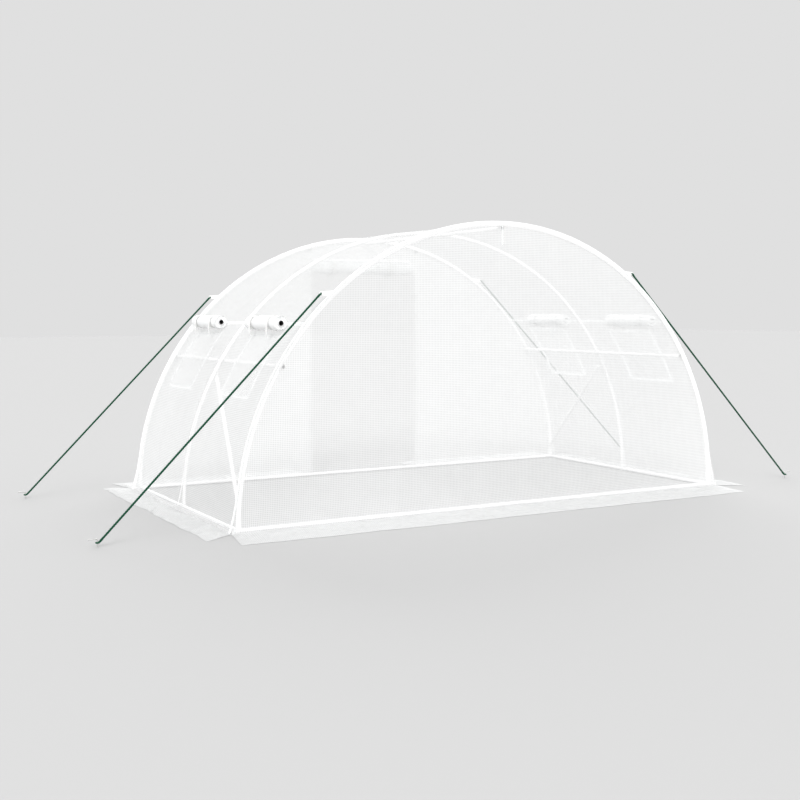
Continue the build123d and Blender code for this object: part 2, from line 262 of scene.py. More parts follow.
def pressed_band_highlight(group, given):
    """1 where the film is pulled tight over the frame: the hoops, and the rails at its foot. It
    masks the firmer film there and a painted highlight.
    """
    x, y, z = add_node(group, "SeparateXYZ", {0: given["Vector"]}).outputs
    # on the arch, the distance to a hoop's plane; on an end wall, to its hoop's circle
    along = maths(group, "ABSOLUTE", y)
    past = maths(group, "SUBTRACT", along, given["Station"])
    hoops = maths(group, "MINIMUM", along, maths(group, "ABSOLUTE", past))
    squares = [maths(group, "MULTIPLY", side, side) for side in (x, z)]
    across = maths(group, "SQRT", maths(group, "ADD", *squares))
    circle = maths(group, "ABSOLUTE", maths(group, "SUBTRACT", across, given["Radius"]))
    wall = maths(group, "GREATER_THAN", past, 0.008)
    roof = maths(group, "SUBTRACT", 1.0, wall)
    on_wall = maths(group, "MULTIPLY", wall, circle)
    on_roof = maths(group, "MULTIPLY", roof, hoops)
    near = maths(group, "ADD", on_wall, on_roof)
    foot = maths(group, "ABSOLUTE", maths(group, "SUBTRACT", z, given["Foot"]))
    share = maths(group, "DIVIDE", maths(group, "MINIMUM", near, foot), given["Reach"])
    edge = maths(group, "SUBTRACT", 1.15, share)
    return (maths(group, "MULTIPLY", edge, 3.0, clamp=True),)


# what fills each node group, its inputs with their defaults, and its outputs
GROUPS = {
    "thread_grid": (
        thread_grid,
        {"Vector": None, "Pitch": 0.012, "Thread": 0.2},
        ("Mask", "Height"),
    ),
    "crumple": (crumple, {"Vector": None, "Scale": 6.0, "Detail": 3.0}, ("Height", "Tone")),
    "pressed_band_highlight": (
        pressed_band_highlight,
        {"Vector": None, "Station": 1.03, "Radius": HOOP, "Foot": TUBE, "Reach": 0.014},
        ("Mask",),
    ),
}


def place_group(tree, name, inputs):
    """Places a node group in a material, and builds it first if it isn't there."""
    group = bpy.data.node_groups.get(name)
    if group is None:
        fill, defaults, results = GROUPS[name]
        group = bpy.data.node_groups.new(name, "ShaderNodeTree")
        for label, default in defaults.items():
            kind = "NodeSocketVector" if default is None else "NodeSocketFloat"
            socket = group.interface.new_socket(name=label, in_out="INPUT", socket_type=kind)
            if default is not None:
                socket.default_value = default
        for label in results:
            group.interface.new_socket(name=label, in_out="OUTPUT", socket_type="NodeSocketFloat")
        given = group.nodes.new("NodeGroupInput").outputs
        leave = group.nodes.new("NodeGroupOutput")
        feed(group, leave, dict(zip(results, fill(group, given))))
    node = tree.nodes.new("ShaderNodeGroup")
    node.node_tree = group
    feed(tree, node, inputs)
    return node.outputs


def new_material(name):
    made = bpy.data.materials.new(name)
    made.use_nodes = True
    return made, made.node_tree, made.node_tree.nodes["Principled BSDF"]


def bump(tree, height, distance, strength=1.0, under=None):
    """The normal of a relief, over another relief where one is given."""
    inputs = {"Height": height, "Distance": distance, "Strength": strength}
    if under:
        inputs["Normal"] = under
    return add_node(tree, "Bump", inputs).outputs[0]


def blend_colours(tree, factor, first, second):
    inputs = {0: factor, 6: (*first, 1.0), 7: (*second, 1.0)}
    return add_node(tree, "Mix", inputs, data_type="RGBA").outputs[2]


def map_range(tree, value, low, high):
    return add_node(tree, "MapRange", {0: value, 3: low, 4: high}).outputs[0]


def noise_over(tree, scale, detail=2.0, where=None):
    """Noise over a piece, from 0 to 1."""
    where = where or add_node(tree, "TexCoord", {}).outputs["Object"]
    inputs = {"Vector": where, "Scale": scale, "Detail": detail}
    return add_node(tree, "TexNoise", inputs).outputs[0]


def cloth_place(tree):
    """The place on the cloth, from the piece's own UV map."""
    return add_node(tree, "UVMap", {}, uv_map="UVMap").outputs[0]


# for each film: opacity between its threads and on them, depth and scale of its creases,
# how light it is beside the film's colour, and how much of it glows with the light behind
FILMS = {
    "film_cover_finish": (0.31, 0.46, 0.002, 3.0, 1.0, 0.4),
    "net_finish": (0.3, 0.8, 0.0, 3.0, 1.0, 0.4),
    "flap_finish": (0.74, 0.9, 0.014, 11.0, 0.86, 0.1),
    "roll_finish": (1.0, 1.0, 0.003, 9.0, 1.13, 0.06),
    "hem_finish": (0.9, 1.0, 0.001, 5.0, 1.15, 0.5),
}


def film_material(name, pressed_with_highlight=False, pitch=0.0):
    """Milky film with threads in it. Pressed film is firmer where it lies on the tubes, and is
    painted near white there as a painted highlight for the bright tubes behind it.
    """
    between, on_thread, crease, scale, shade, glow_share = FILMS[name]
    made, tree, shader = new_material(name)
    pitch = pitch or sizes().grid_pitch
    threads = place_group(
        tree, "thread_grid", {"Vector": cloth_place(tree), "Pitch": pitch, "Thread": 0.2}
    )
    where = add_node(tree, "TexCoord", {}).outputs["Object"]
    creases = place_group(tree, "crumple", {"Vector": where, "Scale": scale, "Detail": 3.0})
    tint = tuple(c * shade for c in colours().film)
    colour = blend_colours(tree, threads["Mask"], tuple(c * 0.95 for c in tint), tint)
    opacity = map_range(tree, threads["Mask"], between, on_thread)
    cloud = maths(tree, "MULTIPLY", creases["Tone"], 0.08)
    opacity = maths(tree, "ADD", opacity, cloud, clamp=True)
    if pressed_with_highlight:
        band = place_group(tree, "pressed_band_highlight", {"Vector": where})["Mask"]
        firm = maths(tree, "MULTIPLY", band, 0.3)
        opacity = maths(tree, "ADD", opacity, firm, clamp=True)
        # painted highlight: the film's colour goes to near white along the tubes, standing in for
        # the bright tubes seen through it
        inputs = {0: band, 6: colour, 7: (0.97, 0.97, 0.97, 1.0)}
        colour = add_node(tree, "Mix", inputs, data_type="RGBA").outputs[2]
    soft = bump(tree, creases["Height"], crease, 0.8)
    relief = bump(tree, threads["Height"], 0.0003, 0.6, soft)
    feed(
        tree,
        shader,
        {
            "Base Color": colour,
            "Roughness": 0.68,
            "Specular IOR Level": 0.25,
            "Alpha": opacity,
            "Normal": relief,
        },
    )
    # light that comes through the film, let past as the film itself is
    inputs = {"Color": (*tint, 1.0), "Normal": relief}
    glow = add_node(tree, "BsdfTranslucent", inputs).outputs[0]
    gap = add_node(tree, "BsdfTransparent", {}).outputs[0]
    veil = add_node(tree, "MixShader", {0: opacity, 1: gap, 2: glow}).outputs[0]
    mix = add_node(tree, "MixShader", {0: glow_share, 1: shader.outputs[0], 2: veil}).outputs[0]
    feed(tree, tree.nodes["Material Output"], {"Surface": mix})
    return made


def coated_tube_material(name):
    """White powder coat on steel, with a faint orange-peel texture and soft dirt."""
    made, tree, shader = new_material(name)
    cloud = noise_over(tree, 5.0)
    tint = tuple(colours().tube)
    inputs = {
        "Base Color": blend_colours(tree, cloud, tint, tuple(c * 0.96 for c in tint)),
        "Roughness": map_range(tree, cloud, 0.28, 0.42),
        "Coat Weight": 0.2,
        "Normal": bump(tree, noise_over(tree, 900.0), 0.0001, 0.3),
    }
    feed(tree, shader, inputs)
    return made


def steel_material(name):
    """Bright zinc plate with fine drawn lines."""
    made, tree, shader = new_material(name)
    grain = noise_over(tree, 60.0, 6.0)
    inputs = {
        "Base Color": blend_colours(tree, grain, (0.78, 0.78, 0.76), (0.6, 0.6, 0.59)),
        "Metallic": 0.9,
        "Roughness": map_range(tree, grain, 0.25, 0.5),
        "Normal": bump(tree, grain, 0.0002, 0.4),
    }
    feed(tree, shader, inputs)
    return made


def webbing_material(name, colour=None, pitch=0.0025):
    """Woven tape, in a tight weave, its colour painted darker in the hollows between the threads as
    shade.
    """
    made, tree, shader = new_material(name)
    colour = colour or tuple(colours().webbing)
    weave = place_group(
        tree, "thread_grid", {"Vector": cloth_place(tree), "Pitch": pitch, "Thread": 0.5}
    )["Height"]
    inputs = {
        # painted shade: the colour is darker where the weave is low, between the threads
        "Base Color": blend_colours(tree, weave, tuple(c * 0.8 for c in colour), colour),
        "Roughness": 0.85,
        "Sheen Weight": 0.2,
        "Normal": bump(tree, weave, 0.0004),
    }
    feed(tree, shader, inputs)
    return made


def rope_material(name):
    """Dark green twisted cord with fibres along its strands."""
    made, tree, shader = new_material(name)
    inputs = {"Vector": cloth_place(tree), "Scale": (60.0, 9.0, 1.0)}
    drawn_out = add_node(tree, "Mapping", inputs).outputs[0]
    fibre = noise_over(tree, 14.0, 5.0, drawn_out)
    tint = tuple(colours().rope)
    light = tuple(min(1.0, c * 1.6 + 0.004) for c in tint)
    inputs = {
        "Base Color": blend_colours(tree, fibre, tint, light),
        "Roughness": 0.75,
        "Specular IOR Level": 0.25,
        "Normal": bump(tree, fibre, 0.0006),
    }
    feed(tree, shader, inputs)
    return made


def painted_shade_material(name):
    """Painted shade for the inside of a tube: near black, with a faint random mottle."""
    made, tree, shader = new_material(name)
    shade_mottle = noise_over(tree, 40.0)
    # near black: painted shade in the bore, with a faint random mottle
    colour = blend_colours(tree, shade_mottle, (0.02, 0.02, 0.02), (0.05, 0.048, 0.045))
    feed(tree, shader, {"Base Color": colour, "Roughness": 0.8})
    return made


# what makes each finish, and what it is told
FINISHES = {
    # the cover gets the painted near-white highlight along the tubes
    "film_cover_finish": (film_material, {"pressed_with_highlight": True}),
    "net_finish": (film_material, {"pitch": 0.005}),
    "flap_finish": (film_material, {}),
    "roll_finish": (film_material, {}),
    "hem_finish": (film_material, {}),
    "webbing_finish": (webbing_material, {}),
    "tape_finish": (webbing_material, {"colour": (0.95, 0.95, 0.945), "pitch": 0.0016}),
    "white_powder_coat": (coated_tube_material, {}),
    "zinc_plated_steel": (steel_material, {}),
    "tube_inside": (painted_shade_material, {}),
    "green_twisted_cord": (rope_material, {}),
}


def finish(name):
    """A finish by name, made the first time that it is asked for."""
    if name in bpy.data.materials:
        return bpy.data.materials[name]
    make, facts = FINISHES[name]
    return make(name, **facts)


# Mesh helpers
def clear_selection():
    if bpy.context.object and bpy.context.object.mode != "OBJECT":
        bpy.ops.object.mode_set(mode="OBJECT")
    bpy.ops.object.select_all(action="DESELECT")


def stops(edges, step):
    """Places from the first edge to the last, with each edge kept and even steps between."""
    places = [edges[0]]
    for low, high in zip(edges, edges[1:]):
        count = max(1, round(abs(high - low) / step))
        places += [low + (high - low) * k / count for k in range(1, count + 1)]
    return places


def sheet_over(name, rows, cols, place, drop=None, levels=1):
    """A sheet whose points come from place(row, col), with their flat places on the cloth."""
    clear_selection()
    bpy.ops.mesh.primitive_grid_add(
        x_subdivisions=len(cols) - 1, y_subdivisions=len(rows) - 1, size=1
    )
    made = bpy.context.object
    made.name = name
    made.data.name = name
    mesh = bmesh.new()
    mesh.from_mesh(made.data)
    layer = mesh.loops.layers.uv.verify()
    flat = {}
    spot = {}
    for vert in mesh.verts:
        col = round((vert.co.x + 0.5) * (len(cols) - 1))
        row = round((vert.co.y + 0.5) * (len(rows) - 1))
        spot[vert] = (row, col)
        point, cloth = place(rows[row], cols[col])
        vert.co = point
        flat[vert] = cloth
    gone = []
    for face in mesh.faces:
        if drop:
            row = sum(rows[spot[v][0]] for v in face.verts) / 4
            col = sum(cols[spot[v][1]] for v in face.verts) / 4
            if drop(row, col):
                gone.append(face)
                continue
        for loop in face.loops:
            loop[layer].uv = flat[loop.vert]
    bmesh.ops.delete(mesh, geom=gone, context="FACES")
    bmesh.ops.recalc_face_normals(mesh, faces=mesh.faces)
    mesh.to_mesh(made.data)
    mesh.free()
    if levels:
        smooth = made.modifiers.new("smooth", "SUBSURF")
        smooth.levels = levels
        smooth.render_levels = levels
        bpy.ops.object.modifier_apply(modifier="smooth")
    bpy.ops.object.shade_smooth()
    return made


def pick(*pieces):
    """Selects pieces alone, with the first one active."""
    clear_selection()
    for one in pieces:
        one.select_set(True)
    bpy.context.view_layer.objects.active = pieces[0]


def thicken(made, thickness, offset=0.0):
    """Gives a sheet a wall."""
    pick(made)
    shell = made.modifiers.new("shell", "SOLIDIFY")
    shell.thickness = thickness
    shell.offset = offset
    bpy.ops.object.modifier_apply(modifier="shell")
    bpy.ops.object.shade_smooth_by_angle(angle=math.radians(35))
    return made


def join(pieces, name):
    pick(*pieces)
    bpy.ops.object.join()
    pieces[0].name = name
    pieces[0].data.name = name
    return pieces[0]


def settle(made):
    """Puts a piece's place into its mesh."""
    pick(made)
    bpy.ops.object.transform_apply(location=True, rotation=True, scale=True)
    return made


def dress(made, material):
    made.data.materials.clear()
    made.data.materials.append(material)
    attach(made, "root")
    return made


def wobble(point, scale, seed=0.0):
    """Smooth noise from -1 to 1."""
    return noise.noise(Vector(point) * scale + Vector((seed, seed * 0.7, -seed)))


def ridge(point, scale, seed=0.0):
    """Noise with sharp crests, from 0 to 1."""
    return 1.0 - min(1.0, 2.2 * abs(wobble(point, scale, seed)))


def between_hoops(y):
    """0 on a hoop and 1 halfway between two."""
    span = STATIONS[1] - STATIONS[0]
    return math.sin(math.pi * (y - STATIONS[0]) / span) ** 2


def flare_at(z, reach=0.28):
    low = max(0.0, (reach - z) / reach)
    return sizes().foot_flare * low * low


def side_flare(y, z, side):
    """How far the arched cover stands out at its foot."""
    return flare_at(z) * (1.0 + 0.35 * wobble((0, y, 2.0 * side), 2.6, 5.0))


def end_flare(x, z, side):
    """How far an end wall stands out at its foot."""
    return flare_at(z, 0.2) * (0.5 + 0.2 * wobble((x, 0, 2.0 * side), 2.6, 15.0))


def towards(value, edge, band=0.15):
    """0 until a value comes within a band of an edge, then up to 1 on it."""
    return min(1.0, max(0.0, (value - edge + band) / band)) ** 2


def cover_spot(angle, y, lift=0.0):
    """A point on the arched cover at an angle in degrees, lifted off it by a small amount."""
    turn = math.radians(angle)
    loose = between_hoops(y)
    place = (math.cos(turn) * ARCH, y, math.sin(turn) * ARCH)
    pull = ridge((place[0] * 0.7, y * 0.45, place[2] * 1.6), 2.3, 3.0)
    sag = sizes().film_sag * loose
    crease = sizes().film_crease * (pull - 0.5) * (0.25 + 0.75 * loose)
    radius = ARCH - FILM - sag + crease + lift
    x = radius * math.cos(turn)
    z = radius * math.sin(turn)
    side = math.copysign(1.0, math.cos(turn))
    end = math.copysign(1.0, y)
    out = side_flare(y, z, side)
    along = end * end_flare(x, z, end) * towards(abs(y), abs(END))
    return Vector((x + side * out, y + along, max(z, 0.003)))


def end_spot(side, x, z, lift=0.0):
    """A point on a flat end wall, side -1 at the front and 1 at the rear."""
    radius = math.hypot(x, z)
    free = min(1.0, max(0.0, (ARCH - radius) / 0.12))
    pull = ridge((x * 1.2, 0.3 * side, z * 0.5), 1.9, 8.0 + side)
    crease = sizes().film_crease * 1.3 * (pull - 0.5) * free
    out = end_flare(x, z, side)
    hand = math.copysign(1.0, x)
    across = hand * side_flare(side * abs(END), z, hand) * towards(radius, ARCH)
    y = side * (abs(END) - FILM + out + crease + lift)
    return Vector((x + across, y, max(z, 0.003)))


# Windows' places
NET_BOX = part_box("window_nets_right")
ROLL_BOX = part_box("window_rolls_right")
ROLL_LENGTH = 0.52
WINDOW_CORE = 0.0185  # radius of the tube in a window's roll
TIE_PLACE = 0.15  # from a window roll's middle to each tie
NET_BORDER = 0.03
WINDOW_WIDTH = 0.45
WINDOW_MIDDLE = NET_BOX[1][1] - NET_BORDER - WINDOW_WIDTH / 2
WINDOW_LOW = 25.0
WINDOW_HIGH = 37.5


def in_window(angle, y):
    """Whether a place on the cover falls inside a window opening."""
    steep = min(angle, 180 - angle)
    return WINDOW_LOW < steep < WINDOW_HIGH and abs(abs(y) - WINDOW_MIDDLE) < WINDOW_WIDTH / 2


# Operators
class POLYTUNNEL_OT_stage(bpy.types.Operator):
    """Adds the camera, the floor and the soft studio light"""

    bl_idname = "polytunnel.stage"
    bl_label = "Stage"

    def execute(self, context):
        clear_selection()
        bpy.ops.mesh.primitive_plane_add(size=120, location=(0, 0, -0.001))
        floor = context.object
        floor.name = "studio_floor"
        made, tree, shader = new_material("studio_floor")
        tint = (*colours().floor, 1.0)
        feed(tree, shader, {"Base Color": tint, "Roughness": 0.9, "Specular IOR Level": 0.0})
        floor.data.materials.append(made)
        # the camera fitted to the photograph, its focal length in pixels
        focal = 1146.3
        picture = 800
        place = Vector((-4.5895, -7.7341, 1.3801))
        yaw = math.radians(29.361)
        pitch = math.radians(4.374)
        roll = math.radians(-0.088)
        ahead = Vector(
            (
                math.sin(yaw) * math.cos(pitch),
                math.cos(yaw) * math.cos(pitch),
                -math.sin(pitch),
            )
        )
        data = bpy.data.cameras.new("camera")
        data.sensor_width = 36.0
        data.lens = data.sensor_width * focal / picture
        camera = bpy.data.objects.new("camera", data)
        context.collection.objects.link(camera)
        eye = Matrix.Translation(place)
        camera.matrix_world = eye @ facing(ahead, "-Z") @ Matrix.Rotation(roll, 4, "Z")
        context.scene.camera = camera
        world = context.scene.world or bpy.data.worlds.new("studio")
        context.scene.world = world
        world.use_nodes = True
        back = world.node_tree.nodes["Background"]
        back.inputs["Color"].default_value = (1.0, 1.0, 1.0, 1.0)
        back.inputs["Strength"].default_value = 0.745
        context.scene.view_settings.view_transform = "Standard"
        for name, way, strength, spread in (
            ("key_light", (0.6, 0.78, -0.66), 2.45, 35.0),
            ("fill_light", (-0.8, 0.45, -0.5), 0.5, 60.0),
            ("rear_light", (-0.6, -1.0, -0.4), 2.2, 50.0),
        ):
            lamp = bpy.data.lights.new(name, "SUN")
            lamp.energy = strength
            lamp.angle = math.radians(spread)
            light = bpy.data.objects.new(name, lamp)
            context.collection.objects.link(light)
            light.matrix_world = facing(way, "-Z")
        return {"FINISHED"}


def bolt_head(place, out, size=0.010):
    """A hexagon head with a washer, standing on a seat."""
    clear_selection()
    bpy.ops.mesh.primitive_cylinder_add(
        vertices=6, radius=size / 2 * 1.1, depth=size * 0.45, location=(0, 0, size * 0.42)
    )
    head = bpy.context.object
    bevel = head.modifiers.new("edge", "BEVEL")
    bevel.width = size * 0.06
    bevel.segments = 2
    bpy.ops.object.modifier_apply(modifier="edge")
    bpy.ops.mesh.primitive_cylinder_add(
        vertices=20, radius=size * 0.8, depth=size * 0.16, location=(0, 0, size * 0.1)
    )
    washer = bpy.context.object
    both = join([head, washer], "bolt")
    both.matrix_world = Matrix.Translation(place) @ facing(out)
    return settle(both)


class POLYTUNNEL_OT_frame(bpy.types.Operator):
    """Gives the tubes, fittings and straps their finish and adds the bolts"""

    bl_idname = "polytunnel.tube_frame"
    bl_label = "Tube frame"

    def execute(self, context):
        tubes = ("hoop_", "base_rail_", "purlin_", "brace_", "saddle_", "corner_", "middle_")
        for start in tubes:
            self.coat(start, finish("white_powder_coat"))
        self.coat("pegs_", finish("zinc_plated_steel"))
        inside = HOOP - TUBE - 0.0003  # where the straps and braces bear on the hoops
        ear = inside - 0.0022
        ear_reach = 0.0258
        lug = inside - 0.004
        heads = []
        for angle in PURLINS:
            for step in (-ear_reach, ear_reach):
                out = outward(angle + math.degrees(step / HOOP))
                for y in STATIONS:
                    heads.append(bolt_head(out * ear + LENGTHWISE * y, -out))
        for side, foot in ((-1, STATIONS[0]), (1, STATIONS[-1])):
            for angle, y in ((BRACE_TOP, STATIONS[1]), (BRACE_FOOT, foot)):
                out = outward(angle, side)
                heads.append(bolt_head(out * lug + LENGTHWISE * y, -out))
        bolts = join(heads, "frame_bolts")
        dress(bolts, finish("zinc_plated_steel"))
        return {"FINISHED"}

    def coat(self, start, material):
        for name in node_names(start):
            for slot in find_node(name).material_slots:
                slot.material = material


class POLYTUNNEL_OT_cover(bpy.types.Operator):
    """Makes the arched film cover in one sheet, with its window openings, welts and seams"""

    bl_idname = "polytunnel.cover"
    bl_label = "Cover"

    def execute(self, context):
        half = abs(END)
        angles = stops([0, WINDOW_LOW, WINDOW_HIGH, 90, 142.5, 155, 180], 1.25)
        low = WINDOW_MIDDLE - WINDOW_WIDTH / 2
        high = WINDOW_MIDDLE + WINDOW_WIDTH / 2
        lengths = stops([-half, -high, -low, 0, low, high, half], 0.032)

        def place(angle, y):
            return cover_spot(angle, y), (y, math.radians(angle) * ARCH)

        cover = sheet_over("tunnel_cover", angles, lengths, place, in_window)
        dress(cover, finish("film_cover_finish"))
        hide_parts("cover_roof", "cover_side_left", "cover_side_right")
        self.welts(half)
        self.seams(half)
        return {"FINISHED"}

    def welts(self, half):
        """Welts along both end edges, where the arched film is welded to the end walls."""
        edge = half - 0.001
        wide = 0.011
        pieces = []
        for side in (-1, 1):

            def place(across, angle, side=side):
                spot = cover_spot(angle, side * edge) + outward(angle) * across * wide
                spot.y = side * (edge + 0.002 * math.sin(across * math.pi))
                return spot, (across * wide, math.radians(angle) * ARCH)

            rows = [0, 0.33, 0.66, 1.0]
            one = sheet_over("welt", rows, stops([0, 180], 2.0), place, levels=0)
            pieces.append(thicken(one, 0.0018))
        return dress(join(pieces, "end_welts"), finish("hem_finish"))

    def seams(self, half):
        """Lengthwise seams just over the tops of the windows."""
        above = WINDOW_HIGH + 3.2
        wide = math.degrees(sizes().hem_width / ARCH) / 2

        def place(angle, y):
            return cover_spot(angle, y, 0.0009), (y, math.radians(angle) * ARCH)

        pieces = []
        for middle in (above, 180 - above):
            rows = [middle - wide, middle, middle + wide]
            pieces.append(sheet_over("seam", rows, stops([-half, 0, half], 0.03), place))
        return dress(join(pieces, "cover_seams"), finish("hem_finish"))


class POLYTUNNEL_OT_end_walls(bpy.types.Operator):
    """Makes the front wall and the three parts of the rear wall round the doorway"""

    bl_idname = "polytunnel.end_walls"
    bl_label = "End walls"

    def execute(self, context):
        radius = ARCH - FILM
        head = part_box("end_wall_rear_top")[0][2]
        walls = (
            ("front_wall", -1, -radius, radius, 0.0, "end_wall_front"),
            ("rear_wall_left", 1, -radius, -DOOR_HALF, 0.0, "end_wall_rear_left"),
            ("rear_wall_right", 1, DOOR_HALF, radius, 0.0, "end_wall_rear_right"),
            ("rear_wall_over_door", 1, -DOOR_HALF, DOOR_HALF, head, "end_wall_rear_top"),
        )
        for name, side, low, high, base, node in walls:
            cols = stops([low, 0, high] if low < 0 < high else [low, high], 0.034)
            rows = stops([0, 1], 1 / 46 if base == 0 else 1 / 6)

            def place(share, x, side=side, base=base):
                top = math.sqrt(max(0.0, radius * radius - x * x))
                z = base + (top - base) * share
                return end_spot(side, x, z), (x, z)

            wall = sheet_over(name, rows, cols, place)
            dress(wall, finish("film_cover_finish"))
            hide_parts(node)
            [self.middle_seam(side, radius)] if name == "front_wall" else []
        return {"FINISHED"}

    def area(self, radius, low, high, base):
        """The area under the arch between two places across it, over a base."""
        count = 400
        total = 0.0
        for k in range(count):
            x = low + (high - low) * (k + 0.5) / count
            total += math.sqrt(max(0.0, radius * radius - x * x)) - base
        return total * (high - low) / count

    def middle_seam(self, side, radius):
        wide = sizes().hem_width / 6

        def place(z, x):
            return end_spot(side, x, z, 0.0025 - 0.4 * abs(x)), (x, z)

        seam = sheet_over(
            "front_top_seam", stops([1.85, radius - 0.002], 0.02), [-wide, 0, wide], place
        )
        return dress(seam, finish("hem_finish"))


class POLYTUNNEL_OT_ground_flaps(bpy.types.Operator):
    """Makes the crinkled flaps of film that lie on the ground"""

    bl_idname = "polytunnel.ground_flaps"
    bl_label = "Ground flaps"

    def execute(self, context):
        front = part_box("ground_flap_front")
        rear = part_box("ground_flap_rear")
        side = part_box("ground_flap_right")
        flare = sizes().foot_flare * 0.95
        foot = ARCH + flare
        near = abs(END) + flare / 2
        gap = DOOR_HALF + 0.025
        rim = ARCH - FILM
        far = abs(front[0][1])
        out = abs(side[1][0])
        tip = side[1][1]

        def wall_foot(end):
            return lambda p: end_spot(end, min(rim, max(-rim, p.x)), 0.0)

        def side_foot(way):
            return lambda p: cover_spot(90 - 90 * way, min(-END, max(END, p.y)))

        self.flap(
            "front_ground_flap",
            [(-foot, -near), (foot, -near), (front[1][0], -far), (front[0][0], -far)],
            "ground_flap_front",
            11.0,
            wall_foot(-1),
        )
        self.flap(
            "rear_ground_flap_left",
            [(-foot, near), (-gap, near), (-gap, far), (rear[0][0], far)],
            "ground_flap_rear",
            17.0,
            wall_foot(1),
        )
        self.flap(
            "rear_ground_flap_right",
            [(gap, near), (foot, near), (rear[1][0], far), (gap, far)],
            "ground_flap_rear",
            23.0,
            wall_foot(1),
        )
        for name, way, seed in (("right", 1, 31.0), ("left", -1, 41.0)):
            self.flap(
                f"{name}_ground_flap",
                [(way * foot, -near), (way * foot, near), (way * out, tip), (way * out, -tip)],
                f"ground_flap_{name}",
                seed,
                side_foot(way),
            )
        return {"FINISHED"}

    def flap(self, name, corners, node, seed, foot_at):
        """A flap with its foot from the first corner to the second, and its free edge beyond."""
        a, b, c, d = [Vector((x, y, 0)) for x, y in corners]
        wide = max((b - a).length, (c - d).length)
        deep = ((d - a).length + (c - b).length) / 2
        crinkle = sizes().flap_crinkle
        shore = (b - a).normalized()
        away = Vector((shore.y, -shore.x, 0))
        if away.dot(d - a) < 0:
            away = -away

        def place(v, u):
            inner = foot_at(a.lerp(b, u))
            outer = d.lerp(c, u)
            spot = inner.lerp(outer, v)
            run = u * wide
            edge = v * v
            waves = 0.5 + 0.5 * wobble((run, v * 0.5, seed), 3.4, seed)
            folds = ridge((run, v * deep * 0.8, seed), 6.0, seed + 4)
            fine = ridge((run, v * deep, seed), 15.0, seed + 9)
            lift = 0.9 * waves * waves * (0.25 + edge) + 0.8 * folds * folds + 0.25 * fine * fine
            z = crinkle * lift * min(1.0, v * 5)
            z *= (1.0 - 0.97 * v**6) * (1.0 - 0.9 * abs(2 * u - 1) ** 24)
            ragged = wobble((run, 0, seed), 2.4, seed + 2) + 0.5 * wobble((run, 0, seed), 7.0, seed)
            spot = spot + away * 0.018 * edge * (ragged - 0.4)
            spot.z = z + 0.0005 + 0.0025 * (1 - v) ** 8
            return spot, (run, v * deep)

        cols = stops([0, 1], 0.024 / wide)
        rows = stops([0, 1], 0.024 / deep)
        made = sheet_over(name, rows, cols, place)
        dress(made, finish("flap_finish"))
        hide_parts(node)


class POLYTUNNEL_OT_windows(bpy.types.Operator):
    """Makes the netted windows, their hems, the rolled shutters and their ties"""

    bl_idname = "polytunnel.windows"
    bl_label = "Windows"

    def execute(self, context):
        for side, name in ((1, "right"), (-1, "left")):
            ties = []
            for along, bay in ((-1, "front"), (1, "rear")):
                middle = along * WINDOW_MIDDLE
                hem = self.hem(side, middle, f"{name}_{bay}")
                net = self.net(side, middle, f"{name}_{bay}", hem)
                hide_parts(f"window_nets_{name}")
                roll, bands = self.shutter(side, middle, f"{name}_{bay}", along)
                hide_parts(f"window_rolls_{name}")
                ties += bands
            tie = join(ties, f"window_ties_{name}_bands")
            dress(tie, finish("webbing_finish"))
            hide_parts(f"window_ties_{name}")
        return {"FINISHED"}

    def cover_angle(self, side, steep):
        return steep if side > 0 else 180 - steep

    def net(self, side, middle, name, hem):
        """Netting that reaches a little past its opening and sags a little in it."""
        low = WINDOW_LOW - 0.3
        high = WINDOW_HIGH + 0.3
        half = WINDOW_WIDTH / 2 + 0.008

        def place(steep, y):
            span = (steep - low) / (high - low)
            across = (y - middle) / half
            sag = -0.008 * math.sin(math.pi * span) * (1 - across * across)
            angle = self.cover_angle(side, steep)
            return cover_spot(angle, y, 0.0004 + sag), (y, math.radians(steep) * ARCH)

        rows = stops([low, high], 0.7)
        cols = stops([middle - half, middle + half], 0.025)
        net = sheet_over(f"window_net_{name}", rows, cols, place)
        dress(net, finish("net_finish"))
        return net

    def hem(self, side, middle, name):
        """A welded border round an opening, on the inside of the cover."""
        turn = math.degrees(NET_BORDER / ARCH)
        left = middle - WINDOW_WIDTH / 2
        right = middle + WINDOW_WIDTH / 2

        def place(steep, y):
            angle = self.cover_angle(side, steep)
            return cover_spot(angle, y, -0.0016), (y, math.radians(steep) * ARCH)

        def drop(steep, y):
            return WINDOW_LOW < steep < WINDOW_HIGH and left < y < right

        rows = stops([WINDOW_LOW - turn, WINDOW_LOW, WINDOW_HIGH, WINDOW_HIGH + turn], 0.45)
        cols = stops([left - NET_BORDER, left, right, right + NET_BORDER], 0.015)
        hem = sheet_over(f"window_hem_{name}", rows, cols, place, drop, 0)
        return dress(hem, finish("hem_finish"))

    def shutter(self, side, middle, name, along):
        """The rolled-up shutter of one window, with its tube and its two tie bands."""
        box = ROLL_BOX
        centre_x = side * (box[0][0] + box[1][0]) / 2
        centre = Vector((centre_x, middle, (box[0][2] + box[1][2]) / 2))
        out = Vector((side, 0, 0))
        roll = rolled_film(
            f"window_roll_{name}",
            centre,
            LENGTHWISE,
            out,
            0.0495,
            ROLL_LENGTH,
            seed=side * 3 + along,
            core=WINDOW_CORE + 0.0008,
        )
        tube = f"window_roll_tube_{name}"
        roll_tube(tube, centre, LENGTHWISE, ROLL_LENGTH + 0.012, WINDOW_CORE)
        bands = []
        for step in (-TIE_PLACE, TIE_PLACE):
            place = centre + LENGTHWISE * step
            bands.append(tie_band(place, LENGTHWISE, out, 0.0505, f"tie_{name}"))
        return roll, bands


